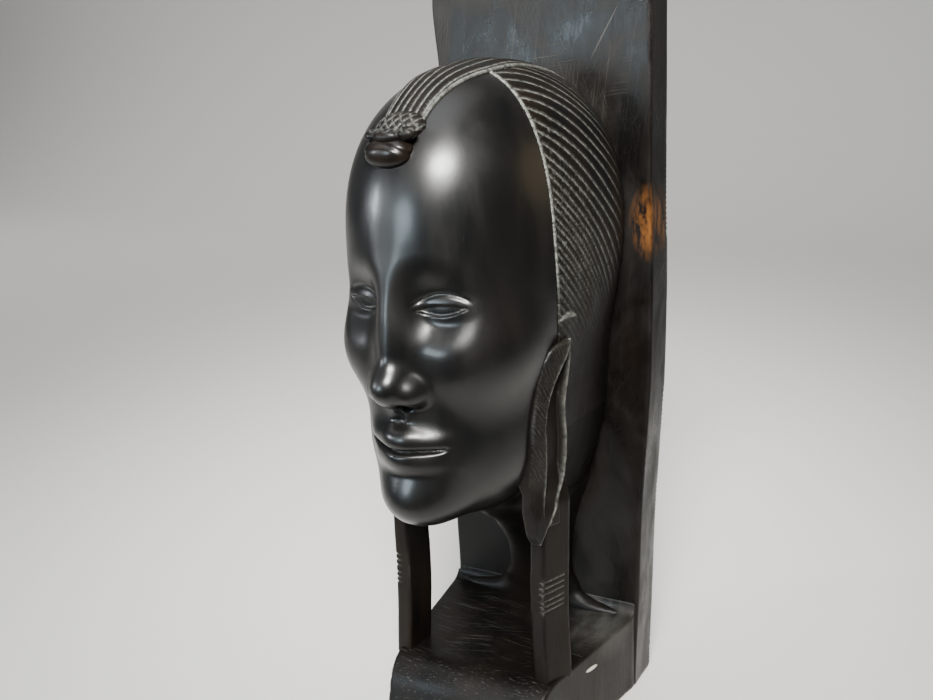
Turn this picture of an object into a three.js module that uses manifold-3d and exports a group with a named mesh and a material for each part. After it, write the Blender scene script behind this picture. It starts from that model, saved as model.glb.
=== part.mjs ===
// Carved ebony bookend: a head in high relief stands out from an upright slab, over a plinth.
// Millimetres, +Z up, the face looks along -Y. Shapes are laid out from the slab's front plane (y = 0)
// and the underside (z = 0); the whole group then moves so that its footprint is centred on the origin.
import * as THREE from "three";
import { mergeVertices } from "three/addons/utils/BufferGeometryUtils.js";
import Module from "manifold-3d";

const wasm = await Module();
wasm.setup();

// ---- driving dimensions ----
const SLAB = { halfWidth: 38.2, topHalfWidth: 40.4, thickness: 18, height: 262, corner: 5 };
const SLAB_BOW = { out: 4.6, at: 0.57 }; // of the slab's left edge, and where along its height
const PLINTH = { height: 30, topDepth: 62, footDepth: 72, frontHalfWidth: 28.5, round: 9, corner: 6 };
const NECK_TOP = 86;
const NECK = [
  // half width, depth in front of the slab, height
  [35, 5, 30], [22, 5.6, 33], [14.5, 8, 40], [12.5, 14, 52], [15.5, 27, 70], [20, 45.5, 85.7],
];
const PENDANT = { thickness: 6, width: 12.8, chamfer: 1, top: 88 };
const PENDANT_PLACES = { left: { x: 26, y: -48.8, turn: -0.33 }, right: { x: -26.6, y: -51, turn: -0.1 } };
const EAR = { top: 147, rim: 3.4, depth: 12, outerFace: 34.6, lean: 0.085 };
const HEAD = { turn: THREE.MathUtils.degToRad(-5.5), pivotY: -35 };
const RAYS = { core: [0, -40, 150], halfLength: 38, crowding: 1.25, reach: 95 };
const HAIR = { line: -54, bottom: 104, proud: 0.8, bed: 2.2, crestHalfWidth: 13, crestFront: -80 };
const KNOT = { at: [-0.8, -83.2, 208.2], radii: [8.8, 7.4, 7.8], split: 208.4 };
const GAP = 0.3; // between carved elements that touch

// ---- materials ----
const ebony = (name, color, roughness) =>
  new THREE.MeshStandardMaterial({ name, color, roughness, metalness: 0 });
const POLISHED = ebony("ebony_polished", 0x16110e, 0.28);
const HAIR_WOOD = ebony("ebony_incised", 0x1b1511, 0.45);
const PLAIN = ebony("ebony_plain", 0x1e1916, 0.5);

// ---- solids ----
function toSolid(geometry) {
  const bare = geometry.clone();
  bare.deleteAttribute("normal");
  bare.deleteAttribute("uv");
  const merged = mergeVertices(bare, 1e-4);
  return new wasm.Manifold(
    new wasm.Mesh({
      numProp: 3,
      vertProperties: merged.attributes.position.array,
      triVerts: new Uint32Array(merged.index.array),
    }),
  );
}

function toGeometry(solid) {
  const { numProp, vertProperties, triVerts } = solid.getMesh();
  const positions = new Float32Array((vertProperties.length / numProp) * 3);
  for (let i = 0; i * 3 < positions.length; i++)
    positions.set(vertProperties.subarray(i * numProp, i * numProp + 3), i * 3);
  const geometry = new THREE.BufferGeometry();
  geometry.setAttribute("position", new THREE.BufferAttribute(positions, 3));
  geometry.setIndex(new THREE.BufferAttribute(triVerts, 1));
  geometry.computeVertexNormals();
  return geometry;
}

const join = (...solids) => solids.reduce((all, next) => all.add(next));

function block([x0, y0, z0], [x1, y1, z1]) {
  const box = new THREE.BoxGeometry(x1 - x0, y1 - y0, z1 - z0);
  return toSolid(box.translate((x0 + x1) / 2, (y0 + y1) / 2, (z0 + z1) / 2));
}

// Everything on the head is laid out face forward, then turned about the head's upright axis.
function turnHead(geometry) {
  return geometry.translate(0, -HEAD.pivotY, 0).rotateZ(HEAD.turn).translate(0, HEAD.pivotY, 0);
}

function ellipsoid([x, y, z], [rx, ry, rz], detail = 24) {
  const ball = new THREE.SphereGeometry(1, detail, Math.round(detail * 0.6));
  return toSolid(turnHead(ball.scale(rx, ry, rz).translate(x, y, z)));
}

// A closed solid through rings of equal length, each a list of Vector3 going anticlockwise seen from above.
function loft(rings) {
  const count = rings[0].length;
  const positions = rings.flat().flatMap((p) => [p.x, p.y, p.z]);
  const faces = [];
  for (let level = 0; level + 1 < rings.length; level++)
    for (let i = 0; i < count; i++) {
      const a = level * count + i;
      const b = level * count + ((i + 1) % count);
      faces.push(a, b, b + count, a, b + count, a + count);
    }
  const top = (rings.length - 1) * count;
  for (let i = 1; i + 1 < count; i++) {
    faces.push(0, i + 1, i);
    faces.push(top, top + i, top + i + 1);
  }
  const geometry = new THREE.BufferGeometry();
  geometry.setAttribute("position", new THREE.Float32BufferAttribute(positions, 3));
  geometry.setIndex(faces);
  return toSolid(geometry);
}

// A rectangle with cut corners, centred on (x, y) at height z.
function chamferedRing(x, y, z, halfX, halfY, cut) {
  const corners = [[1, -1], [1, 1], [-1, 1], [-1, -1]];
  return corners.flatMap(([sx, sy]) => {
    const alongY = new THREE.Vector3(x + sx * halfX, y + sy * (halfY - cut), z);
    const alongX = new THREE.Vector3(x + sx * (halfX - cut), y + sy * halfY, z);
    return sx * sy < 0 ? [alongX, alongY] : [alongY, alongX];
  });
}

// ---- slab: hand cut, wider at the top than at the foot and bowed on one side ----
function makeSlab() {
  const { halfWidth: foot, topHalfWidth: top, height: h, corner: r, thickness } = SLAB;
  const face = new THREE.Shape();
  face.moveTo(-foot, 0).lineTo(foot, 0);
  face.quadraticCurveTo(top + SLAB_BOW.out, SLAB_BOW.at * h, top, h - r);
  face.absarc(top - r, h - r, r, 0, Math.PI / 2);
  face.lineTo(-top + r, h);
  face.absarc(-top + r, h - r, r, Math.PI / 2, Math.PI);
  const plate = new THREE.ExtrudeGeometry(face, { depth: thickness, bevelEnabled: false, curveSegments: 8 });
  return toSolid(plate.rotateX(Math.PI / 2).translate(0, thickness, 0));
}

// ---- plinth: its plan narrows to the front, and its front edge is rounded over ----
function makePlinth() {
  const { height, topDepth, footDepth, frontHalfWidth: front, round, corner } = PLINTH;
  const side = (y) => SLAB.halfWidth + ((SLAB.halfWidth - front) * y) / topDepth;
  const nose = side(-footDepth);
  const plan = new THREE.Shape();
  plan.moveTo(-SLAB.halfWidth, 0).lineTo(-side(-footDepth + corner), -footDepth + corner);
  plan.quadraticCurveTo(-nose, -footDepth, -nose + corner, -footDepth);
  plan.lineTo(nose - corner, -footDepth);
  plan.quadraticCurveTo(nose, -footDepth, side(-footDepth + corner), -footDepth + corner);
  plan.lineTo(SLAB.halfWidth, 0);
  const planSolid = toSolid(
    new THREE.ExtrudeGeometry(plan, { depth: height, bevelEnabled: false, curveSegments: 8 }),
  );
  // The side view is drawn with y to the right and z up, then swung into place.
  const profile = new THREE.Shape();
  profile.moveTo(0, 0).lineTo(0, height).lineTo(-topDepth + round, height);
  profile.quadraticCurveTo(-topDepth - 2, height, -topDepth - 4, height - round);
  profile.lineTo(-footDepth, 0);
  const width = 2 * SLAB.halfWidth + 2;
  const sideGeometry = new THREE.ExtrudeGeometry(profile, {
    depth: width,
    bevelEnabled: false,
    curveSegments: 10,
  });
  sideGeometry.rotateX(Math.PI / 2).rotateZ(Math.PI / 2).translate(-width / 2, 0, 0);
  return planSolid.intersect(toSolid(sideGeometry));
}

// ---- neck: a low swelling on the slab at its foot, a waist, then out forward to the throat ----
function makeNeck() {
  const profile = new THREE.CatmullRomCurve3(NECK.map((knot) => new THREE.Vector3(...knot)));
  const rings = profile.getPoints(18).map(({ x: half, y: depth, z }) => {
    const ring = [];
    for (let i = 0; i <= 24; i++) {
      const angle = Math.PI * (1 + i / 24);
      ring.push(new THREE.Vector3(half * Math.cos(angle), depth * Math.sin(angle), z));
    }
    return ring;
  });
  return loft(rings);
}

// ---- the head's form: rounded masses that run smoothly into each other ----
// A power over 2 makes a mass squarer; blend is the distance over which it runs into the rest.
function mass(at, radii, blend, { yaw = 0, pitch = 0, power = 2 } = {}) {
  return { at, radii, blend, yaw, pitch, power };
}

const mirrored = ({ at: [x, y, z], radii, blend, yaw, pitch, power }) => [
  mass([x, y, z], radii, blend, { yaw, pitch, power }),
  mass([-x, y, z], radii, blend, { yaw: -yaw, pitch, power }),
];

const MASSES = [
  mass([0, -32, 177.5], [35.2, 55.5, 53], 14, { power: 2.15 }), // skull
  mass([0, -50, 183], [28.5, 37.5, 39.5], 14, { power: 2.3 }), // forehead
  mass([0, -49, 141], [28.5, 37, 47], 14, { power: 2.3 }), // face
  mass([0, -52, 112], [24.5, 33.5, 22.5], 14), // jaw
  mass([0, -12, 122], [25.5, 32, 52], 14), // nape
];
const FEATURES = [
  mass([0, -78, 101], [12, 12, 9.8], 9), // chin
  ...mirrored(mass([16, -69.5, 146], [11.5, 14.5, 11], 14)), // cheekbones
];
const SOCKETS = mirrored(mass([14.5, -94.5, 162.5], [12, 10.5, 8.6], 8, { yaw: 0.3 }));
const RAISED = [
  ...mirrored(mass([14.2, -77, 161.5], [9.8, 7.4, 6.4], 2.4, { yaw: 0.42 })), // eyelids
  mass([0, -84.6, 156], [4.6, 8.2, 24], 8, { pitch: -0.16 }), // bridge of the nose
  mass([0, -91.4, 138.6], [5.6, 6.6, 5.6], 5), // tip of the nose
  ...mirrored(mass([6.2, -87.6, 137], [3.7, 5.6, 4.2], 3)), // wings of the nose
  ...mirrored(mass([4.8, -84.4, 121.3], [9.2, 4.6, 3.2], 3.5, { yaw: 0.42 })), // upper lip
  ...mirrored(mass([3.9, -84.2, 115.2], [8, 4.9, 3.7], 3.5, { yaw: 0.42 })), // lower lip
];

const UP = new THREE.Vector3(0, 0, 1);
const FORWARD = new THREE.Vector3(0, -1, 0);
const ACROSS = new THREE.Vector3(1, 0, 0);
const raise = (v, power) => new THREE.Vector3(v.x ** power, v.y ** power, v.z ** power);
const sum = (v) => v.x + v.y + v.z;

// Roughly how far a point is outside a mass; negative inside it.
function outside(p, { at, radii, yaw, pitch, power }, grow = 0) {
  const d = new THREE.Vector3().subVectors(p, new THREE.Vector3(...at));
  if (yaw) d.applyAxisAngle(UP, -yaw);
  if (pitch) d.applyAxisAngle(ACROSS, -pitch);
  const r = new THREE.Vector3(...radii).addScalar(grow);
  const q = new THREE.Vector3(Math.abs(d.x), Math.abs(d.y), Math.abs(d.z)).divide(r).addScalar(1e-6);
  const size = sum(raise(q, power)) ** (1 / power);
  const slope = size ** (1 - power) * raise(q, power - 1).divide(r).length();
  return (size - 1) / slope;
}

// The lesser of two values, rounded over a distance where they are nearly equal.
function blend(a, b, width) {
  const near = Math.max(width - Math.abs(a - b), 0) / width;
  return Math.min(a, b) - (near * near * width) / 4;
}

function roundForm(p, grow) {
  return MASSES.reduce((value, m) => blend(value, outside(p, m, grow), m.blend), Infinity);
}

function facedForm(p) {
  let value = roundForm(p, 0);
  for (const m of FEATURES) value = blend(value, outside(p, m), m.blend);
  for (const m of SOCKETS) value = -blend(-value, outside(p, m), m.blend);
  for (const m of RAISED) value = blend(value, outside(p, m), m.blend);
  return value;
}

// A closed surface where the form is zero, found along rays from outside towards an upright line inside.
function carve(form, around, along) {
  const ball = new THREE.SphereGeometry(1, around, along);
  const core = new THREE.Vector3(...RAYS.core);
  const { position } = ball.attributes;
  const ray = new THREE.Vector3();
  const aside = new THREE.Vector3();
  const p = new THREE.Vector3();
  const at = (distance) => {
    p.copy(core).addScaledVector(UP, RAYS.halfLength * ray.z);
    return p.addScaledVector(ray, distance);
  };
  for (let i = 0; i < position.count; i++) {
    ray.fromBufferAttribute(position, i);
    // Rings are drawn in towards the face, where the form is finest.
    const drawn = Math.PI * (ray.angleTo(FORWARD) / Math.PI) ** RAYS.crowding;
    aside.copy(ray).setY(0).normalize();
    ray.copy(FORWARD).multiplyScalar(Math.cos(drawn)).addScaledVector(aside, Math.sin(drawn));
    let inner = RAYS.reach;
    while (inner > 1 && form(at(inner)) > 0) inner -= 1;
    let outer = inner + 1;
    for (let halving = 0; halving < 12; halving++) {
      const middle = (inner + outer) / 2;
      if (form(at(middle)) < 0) inner = middle;
      else outer = middle;
    }
    at(inner);
    position.setXYZ(i, p.x, p.y, p.z);
  }
  return toSolid(turnHead(ball));
}

// ---- hair zones: prisms that cut the hair out of the head's skin ----
const FAR = 120;
const TOP = SLAB.height;

function turnedBlock(low, high) {
  const [x0, y0, z0] = low;
  const [x1, y1, z1] = high;
  const box = new THREE.BoxGeometry(x1 - x0, y1 - y0, z1 - z0);
  box.translate((x0 + x1) / 2, (y0 + y1) / 2, (z0 + z1) / 2);
  return toSolid(turnHead(box));
}

// Everything behind the hairline on one side, above the hair's lower edge.
function sideZone(side, inset) {
  const near = HAIR.crestHalfWidth + inset;
  const [x0, x1] = side > 0 ? [near, FAR] : [-FAR, -near];
  return turnedBlock([x0, HAIR.line + inset, HAIR.bottom + inset], [x1, FAR, TOP]);
}

// The band along the crown, which reaches forward of the hairline and narrows to the knot.
function crestZone(inset) {
  const half = HAIR.crestHalfWidth - inset;
  const front = HAIR.crestFront + inset;
  const plan = new THREE.Shape();
  plan.moveTo(-half, FAR).lineTo(-half, HAIR.line).lineTo(-0.55 * half, front);
  plan.lineTo(0.55 * half, front).lineTo(half, HAIR.line).lineTo(half, FAR);
  const prism = new THREE.ExtrudeGeometry(plan, { depth: TOP - 190, bevelEnabled: false });
  return toSolid(turnHead(prism.translate(0, 0, 190)));
}

// ---- ear: a long stretched loop on the side of the head, its lobe standing on the pendant ----
function earOutline(inset) {
  const bottom = PENDANT.top + GAP + inset;
  const back = -43 - inset;
  const front = (y) => y + inset;
  const rim = [
    [back, bottom], [back, 116], [back - 0.5, 133], [back - 1.2, EAR.top - 1.5 * inset],
    [front(-51), 143 - inset], [front(-57), 135], [front(-60), 121], [front(-62), 103], [front(-59), bottom],
  ];
  return new THREE.SplineCurve(rim.map(([y, z]) => new THREE.Vector2(y, z))).getPoints(36);
}

function makeEar(side, underEar) {
  const leaf = new THREE.Shape(earOutline(0));
  leaf.holes.push(new THREE.Path(earOutline(EAR.rim).reverse()));
  const plate = new THREE.ExtrudeGeometry(leaf, { depth: EAR.depth, bevelEnabled: false });
  // Shape x becomes y and shape y becomes z; the plate then leans in towards the jaw.
  plate.applyMatrix4(new THREE.Matrix4().set(0, 0, 1, 0, 1, 0, 0, 0, 0, 1, 0, 0, 0, 0, 0, 1));
  plate.translate(EAR.outerFace - EAR.depth, 0, 0);
  plate.applyMatrix4(new THREE.Matrix4().makeShear(0, 0, 0, 0, EAR.lean, 0));
  plate.translate(-EAR.lean * EAR.top, 0, 0);
  if (side < 0) flipFaces(plate.scale(-1, 1, 1));
  return toSolid(turnHead(plate)).subtract(underEar);
}

function flipFaces(geometry) {
  const { array } = geometry.attributes.position;
  for (let i = 0; i < array.length; i += 9)
    for (let k = 0; k < 3; k++) [array[i + 3 + k], array[i + 6 + k]] = [array[i + 6 + k], array[i + 3 + k]];
}

// ---- pendant: a flat bar from the lobe of the ear down to the plinth ----
function makePendant({ x, y, turn }) {
  const { thickness, width, chamfer, top } = PENDANT;
  const foot = new THREE.Vector3(x, y, 0);
  const rings = [PLINTH.height, top].map((z) => {
    const ring = chamferedRing(0, 0, z, thickness / 2, width / 2, chamfer);
    return ring.map((p) => p.applyAxisAngle(UP, turn).add(foot));
  });
  return loft(rings);
}

// ---- assembly ----
const boardPlane = block([-FAR, 0, -10], [FAR, FAR, TOP + 10]);
const belowHead = block([-FAR, -FAR, -10], [FAR, FAR, NECK_TOP]);
const hairZone = join(sideZone(-1, 0), sideZone(1, 0), crestZone(0));
const bed = carve((p) => roundForm(p, -HAIR.bed - GAP), 40, 30);
const scalp = carve((p) => roundForm(p, -HAIR.bed), 40, 30);
const hairForm = carve((p) => roundForm(p, HAIR.proud), 56, 40);
const knotSeat = ellipsoid(KNOT.at, KNOT.radii);
const knot = ellipsoid(KNOT.at, KNOT.radii.map((r) => r - GAP));
const abovePlane = block([-FAR, -FAR, KNOT.split + GAP], [FAR, FAR, TOP]);
const belowPlane = block([-FAR, -FAR, -10], [FAR, FAR, KNOT.split]);

const largest = (solid) => solid.decompose().sort((a, b) => b.volume() - a.volume())[0];
const hairCut = (zone) => hairForm.intersect(zone).subtract(scalp).subtract(boardPlane);
const skin = carve(facedForm, 104, 76);
const head = skin.subtract(hairZone.subtract(bed)).subtract(knotSeat).subtract(boardPlane);
const underEar = join(
  carve((p) => facedForm(p) - 2 * GAP, 56, 40),
  carve((p) => roundForm(p, HAIR.proud + 2 * GAP), 56, 40),
);

const left = 1;
const right = -1;
const pieces = {
  slab: [makeSlab(), PLAIN],
  plinth: [makePlinth(), PLAIN],
  neck: [makeNeck(), PLAIN],
  head: [head.subtract(belowHead), POLISHED],
  hair_crest: [hairCut(crestZone(GAP)).subtract(knotSeat), HAIR_WOOD],
  hair_left: [hairCut(sideZone(left, GAP)), HAIR_WOOD],
  hair_right: [hairCut(sideZone(right, GAP)), HAIR_WOOD],
  hair_knot: [knot.intersect(belowPlane), POLISHED],
  knot_binding: [knot.intersect(abovePlane), HAIR_WOOD],
  ear_left: [makeEar(left, underEar), POLISHED],
  ear_right: [makeEar(right, underEar), POLISHED],
  pendant_left: [makePendant(PENDANT_PLACES.left), PLAIN],
  pendant_right: [makePendant(PENDANT_PLACES.right), PLAIN],
};

const bookend = new THREE.Group();
for (const [name, [solid, material]] of Object.entries(pieces)) {
  const mesh = new THREE.Mesh(toGeometry(largest(solid)), material);
  mesh.name = name;
  bookend.add(mesh);
}
bookend.position.y = (PLINTH.footDepth - SLAB.thickness) / 2;
export default bookend;
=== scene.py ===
"""Carved ebony bookend: a head in high relief before an upright slab, over a plinth.

Every carved piece is a field: a function that is negative inside the wood and grows outwards in
millimetres. A field is turned into an even mesh, which is then refined where the carving is fine.
"""
from collections import namedtuple
from functools import partial
from math import cos, radians, sin

import bpy
import numpy as np
from mathutils import Matrix, Vector


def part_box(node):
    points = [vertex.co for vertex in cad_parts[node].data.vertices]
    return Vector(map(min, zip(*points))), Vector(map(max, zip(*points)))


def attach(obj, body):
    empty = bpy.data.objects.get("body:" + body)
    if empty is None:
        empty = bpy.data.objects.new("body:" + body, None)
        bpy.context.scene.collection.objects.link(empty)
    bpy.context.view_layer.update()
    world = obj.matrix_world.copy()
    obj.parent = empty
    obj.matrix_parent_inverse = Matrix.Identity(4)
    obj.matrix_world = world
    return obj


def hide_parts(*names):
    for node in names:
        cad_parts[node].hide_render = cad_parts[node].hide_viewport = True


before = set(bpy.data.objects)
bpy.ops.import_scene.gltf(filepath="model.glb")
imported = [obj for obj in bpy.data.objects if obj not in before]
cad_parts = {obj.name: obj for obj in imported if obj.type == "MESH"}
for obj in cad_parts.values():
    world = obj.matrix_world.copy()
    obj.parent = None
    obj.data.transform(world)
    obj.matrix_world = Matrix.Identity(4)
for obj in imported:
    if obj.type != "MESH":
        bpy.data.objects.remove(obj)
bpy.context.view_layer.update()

# ---- places and sizes from the frame, in millimetres from the slab's front plane and the underside ----
MM = 0.001
PLINTH_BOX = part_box("plinth")
ORIGIN = Vector(((PLINTH_BOX[0].x + PLINTH_BOX[1].x) / 2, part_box("slab")[0].y, PLINTH_BOX[0].z))


def span(node):
    """A CAD node's lowest and highest corners, in the script's millimetres."""
    return [np.array(corner - ORIGIN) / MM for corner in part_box(node)]


SLAB_LEFT = -span("slab")[0][0]              # half width on the side that hardly bows
SLAB_THICKNESS, SLAB_HEIGHT = span("slab")[1][1:]
PLINTH_LOW, PLINTH_HIGH = span("plinth")
FOOT_HALF, PLINTH_TOP = PLINTH_HIGH[0], PLINTH_HIGH[2]
NECK_TOP = span("neck")[1][2]
LOBE = span("pendant_left")[1][2]            # height at which the ear's lobe meets the pendant

HEAD_TURN = radians(-5.5)
HEAD_PIVOT = np.array([0.0, -35.0, 0.0])

# ---- fields ----
Mass = namedtuple("Mass", "at radii blend yaw pitch power", defaults=(5.0, 0.0, 0.0, 2.0))


def mirrored(m):
    return [m, m._replace(at=(-m.at[0], m.at[1], m.at[2]), yaw=-m.yaw)]


def spun(p, angle, first, second):
    """Points turned by an angle in the plane of two axes."""
    turned = p.copy()
    turned[:, first] = cos(angle) * p[:, first] - sin(angle) * p[:, second]
    turned[:, second] = sin(angle) * p[:, first] + cos(angle) * p[:, second]
    return turned


def outside(p, m):
    """Roughly how far points are outside a rounded mass; negative inside it."""
    d = p - np.array(m.at)
    if m.yaw:
        d = spun(d, -m.yaw, 0, 1)
    if m.pitch:
        d = spun(d, -m.pitch, 1, 2)
    radii = np.array(m.radii)
    q = np.maximum(np.abs(d) / radii, 1e-5)
    size = (q ** m.power).sum(1) ** (1 / m.power)
    slope = size ** (1 - m.power) * np.linalg.norm(q ** (m.power - 1) / radii, axis=1)
    return (size - 1) / slope


def join(a, b, width):
    """Both solids, running smoothly into each other over a width."""
    near = np.maximum(width - np.abs(a - b), 0) / width
    return np.minimum(a, b) - near * near * width / 4


def meet(width, *fields):
    """What is inside all the solids, with its edges rounded over a width."""
    value = -fields[0]
    for other in fields[1:]:
        value = join(value, -other, width)
    return -value


def cut(a, b, width):
    return -join(-a, b, width)


def add_masses(value, p, masses):
    for m in masses:
        value = join(value, outside(p, m), m.blend)
    return value


def cut_masses(value, p, masses):
    for m in masses:
        value = cut(value, outside(p, m), m.blend)
    return value


def ramp(x, start, end):
    t = np.clip((x - start) / (end - start), 0, 1)
    return t * t * (3 - 2 * t)


def bump(x, width):
    return np.exp(-(x / width) ** 2)


def through(x, knots):
    """A smooth curve through (x, value) knots in rising x, level beyond its ends."""
    xs, ys = np.array(knots, float).T
    slopes = np.gradient(ys, xs)
    slopes[[0, -1]] = 0
    x = np.clip(x, xs[0], xs[-1])
    i = np.clip(np.searchsorted(xs, x) - 1, 0, len(xs) - 2)
    h = xs[i + 1] - xs[i]
    t = (x - xs[i]) / h
    rise = ys[i] * (1 + 2 * t) * (1 - t) ** 2 + ys[i + 1] * t * t * (3 - 2 * t)
    return rise + h * t * (1 - t) * (slopes[i] * (1 - t) - slopes[i + 1] * t)


def uneven(p, reach, seed):
    """A slow wave from -1 to 1 that makes a flat carved face uneven."""
    x, y, z = (p / reach).T
    a = np.sin(1.7 * x + 1.3 * np.sin(0.9 * z + seed) + seed)
    b = np.sin(1.1 * z + 1.1 * np.sin(1.6 * y + 0.7 * x) + 2.3 * seed)
    return 0.5 * (a + b * np.sin(0.6 * y + 0.8 * x + seed))


def groove(distance, depth, width):
    """How much an incised line takes off a surface, by distance from the line."""
    return depth * bump(distance, width)


# ---- from field to mesh ----
TETRAHEDRON = np.array([[1, -1, -1], [-1, -1, 1], [-1, 1, -1], [1, 1, 1]], float)
SPLITS = 4                                   # the most times that an edge is halved
LONG_EDGE = 1.35                             # times the spacing, over which an edge is split
RIDGE_BEND, HOLLOW_BEND = (0.12, 0.6), (0.12, 0.7)  # per millimetre, where wear and dust begin and are full


def surface_nets(field, low, high, step):
    """Points near the surface, one in each cell that it crosses, and the triangles between them."""
    low, high = np.array(low, float), np.array(high, float)
    counts = np.ceil((high - low) / step).astype(int) + 1
    axes = [low[i] + step * np.arange(counts[i]) for i in range(3)]
    grid = np.stack(np.meshgrid(*axes, indexing="ij"), -1).reshape(-1, 3)
    inside = (field(grid) < 0).reshape(counts)
    nx, ny, nz = counts - 1
    corners = [inside[i:nx + i, j:ny + j, k:nz + k] for i in (0, 1) for j in (0, 1) for k in (0, 1)]
    total = sum(corner.astype(int) for corner in corners)
    crossed = (total > 0) & (total < 8)
    number = np.full(crossed.shape, -1)
    number[crossed] = np.arange(crossed.sum())
    points = low + step * (np.argwhere(crossed) + 0.5)
    quads = []
    for a in range(3):
        b, c = (a + 1) % 3, (a + 2) % 3
        first = np.take(inside, range(counts[a] - 1), a)
        second = np.take(inside, range(1, counts[a]), a)
        at = np.argwhere(first != second)
        kept = (at[:, b] > 0) & (at[:, c] > 0) & (at[:, b] < counts[b] - 1) & (at[:, c] < counts[c] - 1)
        at = at[kept]
        along_b, along_c = np.eye(3, dtype=int)[b], np.eye(3, dtype=int)[c]
        shifts = (along_b + along_c, along_c, 0 * along_b, along_b)
        ring = np.stack([number[tuple((at - shift).T)] for shift in shifts], 1)
        leaving = first[tuple(at.T)][:, None]
        quads.append(np.where(leaving, ring, ring[:, ::-1]))
    quads = np.concatenate(quads)
    return points, np.concatenate([quads[:, [0, 1, 2]], quads[:, [0, 2, 3]]])


def project(points, field, rounds=1, reach=0.05, limit=1.5):
    """Points moved along the field's slope onto its surface."""
    for _ in range(rounds):
        samples = [field(points + reach * corner) for corner in TETRAHEDRON]
        slope = sum(s[:, None] * corner for s, corner in zip(samples, TETRAHEDRON)) / (4 * reach)
        move = -sum(samples) / 4 / np.maximum((slope ** 2).sum(1), 0.1)
        points = points + np.clip(move, -limit, limit)[:, None] * slope
    return points


def edges_of(triangles, count):
    pairs = np.sort(triangles[:, [[0, 1], [1, 2], [2, 0]]], axis=2).reshape(-1, 2)
    keys, back = np.unique(pairs[:, 0] * count + pairs[:, 1], return_inverse=True)
    return np.stack([keys // count, keys % count], 1), back.reshape(-1, 3)


def neighbour_mean(points, triangles):
    """The mean of each point's neighbours, and its mean edge length."""
    edges, _ = edges_of(triangles, len(points))
    ends = np.concatenate([edges, edges[:, ::-1]])
    degree = np.bincount(ends[:, 0], minlength=len(points))
    other = points[ends[:, 1]]
    mean = np.stack([np.bincount(ends[:, 0], other[:, i], len(points)) for i in range(3)], 1)
    length = np.linalg.norm(points[ends[:, 0]] - other, axis=1)
    return mean / degree[:, None], np.bincount(ends[:, 0], length, len(points)) / degree


def refine(points, triangles, spacing):
    """Splits every edge that is longer than the spacing asked for at its middle."""
    edges, back = edges_of(triangles, len(points))
    middle = points[edges].mean(1)
    length = np.linalg.norm(points[edges[:, 0]] - points[edges[:, 1]], axis=1)
    split = length > LONG_EDGE * spacing(middle)
    number = np.full(len(edges), -1)
    number[split] = len(points) + np.arange(split.sum())
    mids = number[back]
    count = (mids >= 0).sum(1)
    out = [triangles[count == 0]]
    for turn in range(3):
        corners, m = np.roll(triangles, -turn, 1), np.roll(mids, -turn, 1)
        one = (count == 1) & (m[:, 0] >= 0)
        a, b, c = corners[one].T
        u = m[one, 0]
        out += [np.stack([a, u, c], 1), np.stack([u, b, c], 1)]
        two = (count == 2) & (m[:, 2] < 0)
        a, b, c = corners[two].T
        u, v = m[two, 0], m[two, 1]
        out += [np.stack([u, b, v], 1), np.stack([a, u, v], 1), np.stack([a, v, c], 1)]
    a, b, c = triangles[count == 3].T
    u, v, w = mids[count == 3].T
    out += [np.stack(t, 1) for t in ((a, u, w), (u, b, v), (w, v, c), (u, v, w))]
    return np.concatenate([points, middle[split]]), np.concatenate(out)


def carve(field, low, high, spacing, coarse=1.8):
    """The mesh of a field inside a box: even at first, then split where it is coarser than the spacing."""
    points, triangles = surface_nets(field, low, high, coarse)
    points = project(points, field, 3)
    for _ in range(2):
        points = project((points + neighbour_mean(points, triangles)[0]) / 2, field)
    for _ in range(SPLITS):
        before = len(points)
        points, triangles = refine(points, triangles, spacing)
        if len(points) == before:
            break
        points = project(points, field)
    points = project((points + neighbour_mean(points, triangles)[0]) / 2, field, 3)
    return points, triangles


def normals_of(points, triangles):
    a, b, c = points[triangles].transpose(1, 0, 2)
    face = np.cross(b - a, c - a)
    corner = triangles.T.ravel()
    total = np.stack([np.bincount(corner, np.tile(face[:, i], 3), len(points)) for i in range(3)], 1)
    return total / np.maximum(np.linalg.norm(total, axis=1), 1e-12)[:, None]


def bend_of(points, triangles):
    """How sharply the surface bends, per millimetre: over zero on a ridge, under zero in a groove."""
    mean, length = neighbour_mean(points, triangles)
    bend = ((points - mean) * normals_of(points, triangles)).sum(1) / np.maximum(length, 1e-6) ** 2
    return neighbour_mean(np.stack([bend] * 3, 1), triangles)[0][:, 0]


def make_piece(name, points, triangles, nodes, material, lined=0.0):
    """A Blender object from a carved mesh, with its ridges, hollows and cut lines as point attributes."""
    bend = bend_of(points, triangles)
    worn, dusty = ramp(bend, *RIDGE_BEND), ramp(-bend, *HOLLOW_BEND)
    masks = {"worn": worn, "dusty": dusty, "lined": lined + np.zeros(len(points))}
    mesh = bpy.data.meshes.new(name)
    mesh.from_pydata(points * MM + np.array(ORIGIN), [], triangles.tolist())
    mesh.polygons.foreach_set("use_smooth", [True] * len(triangles))
    for mask, values in masks.items():
        mesh.attributes.new(mask, "FLOAT", "POINT").data.foreach_set("value", values.astype(np.float32))
    mesh.materials.append(material)
    piece = bpy.data.objects.new(name, mesh)
    bpy.context.scene.collection.objects.link(piece)
    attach(piece, "root")
    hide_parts(*nodes)
    print(f"{name}: {len(triangles)} triangles")


def turn_head(points, angle=HEAD_TURN):
    """From face forward to the head's real turn about its upright axis."""
    return spun(points - HEAD_PIVOT, angle, 0, 1) + HEAD_PIVOT


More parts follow.
